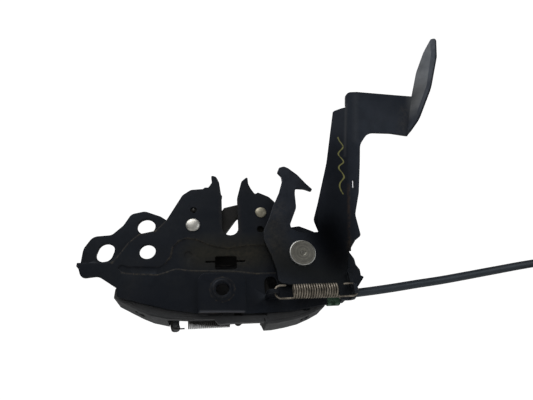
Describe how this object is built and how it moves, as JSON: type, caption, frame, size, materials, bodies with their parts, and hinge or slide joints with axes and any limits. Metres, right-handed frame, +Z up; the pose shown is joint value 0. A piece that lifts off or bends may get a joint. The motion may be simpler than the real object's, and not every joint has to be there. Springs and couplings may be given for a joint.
{
  "type": "bonnet latch",
  "caption": "Pressed-steel bonnet latch with striker slot, sprung claw and pawl, a folded safety lever with a thumb paddle, and a sheathed release cable.",
  "frame": {"origin": "centre of the round fixing hole, on the back face of the base plate's main level", "axes": "+X to the right seen from the front, +Z up as fitted, -Y out of the front of the latch towards the person who opens the bonnet"},
  "size_m": [0.4222, 0.1017, 0.2574],
  "materials": {
    "black_plate": "worn black coat on pressed steel, dusty, rust in the folds",
    "dark_steel": "oiled dark steel",
    "plated_steel": "dulled zinc plating",
    "spring_wire": "tarnished spring wire, brown film",
    "black_plastic": "moulded black plastic, slightly greyed",
    "green_plastic": "dull green plastic",
    "sheath_plastic": "smooth black sheath"
  },
  "bodies": {
    "base": {"base_plate": "black_plate", "backing_plate": "dark_steel", "rear_cover": "black_plastic", "claw_pivot_rivet": "plated_steel", "pawl_pivot_rivet": "plated_steel", "lever_pivot_rivet": "plated_steel", "lever_spacer": "plated_steel", "claw_spring": "spring_wire", "pawl_spring": "spring_wire", "lever_spring": "spring_wire", "sheath_ferrule": "plated_steel", "cable_clip": "green_plastic", "cable_sheath": "sheath_plastic", "cable_coil": "sheath_plastic", "cable_tail": "sheath_plastic", "cable_tie": "black_plastic", "cabin_ferrule": "plated_steel", "cabin_wire": "plated_steel", "cabin_nipple": "plated_steel"},
    "claw": {"claw": "dark_steel"},
    "pawl": {"pawl": "dark_steel"},
    "lever": {"safety_lever": "black_plate"},
    "core": {"core_wire": "plated_steel", "core_nipple": "plated_steel"}
  },
  "joints": [
    {"name": "claw_turn", "type": "hinge", "parent": "base", "child": "claw", "pos_m": [0.0298, 0.0035, 0.0196], "axis": [0, 1, 0], "range_deg": [0, 38], "stiffness_Nm_per_rad": 0.4, "springref_deg": -20.05, "deforming": ["claw_spring"]},
    {"name": "pawl_turn", "type": "hinge", "parent": "base", "child": "pawl", "pos_m": [0.0794, 0.0035, 0.0295], "axis": [0, -1, 0], "range_deg": [-8, 8], "stiffness_Nm_per_rad": 0.8, "deforming": ["pawl_spring"]},
    {"name": "cable_pull", "type": "slide", "parent": "base", "child": "core", "axis": [1, 0, 0], "range_m": [-0.0088, 0.0088]},
    {"name": "lever_turn", "type": "hinge", "parent": "base", "child": "lever", "pos_m": [0.1056, -0.0069, -0.0059], "axis": [0, -1, 0], "range_deg": [0, 20], "stiffness_Nm_per_rad": 1.5, "springref_deg": -17.19, "deforming": ["lever_spring"]}
  ],
  "couplings": [
    {"joint": "cable_pull", "follows": "pawl_turn", "m_per_rad": 0.0615}
  ]
}
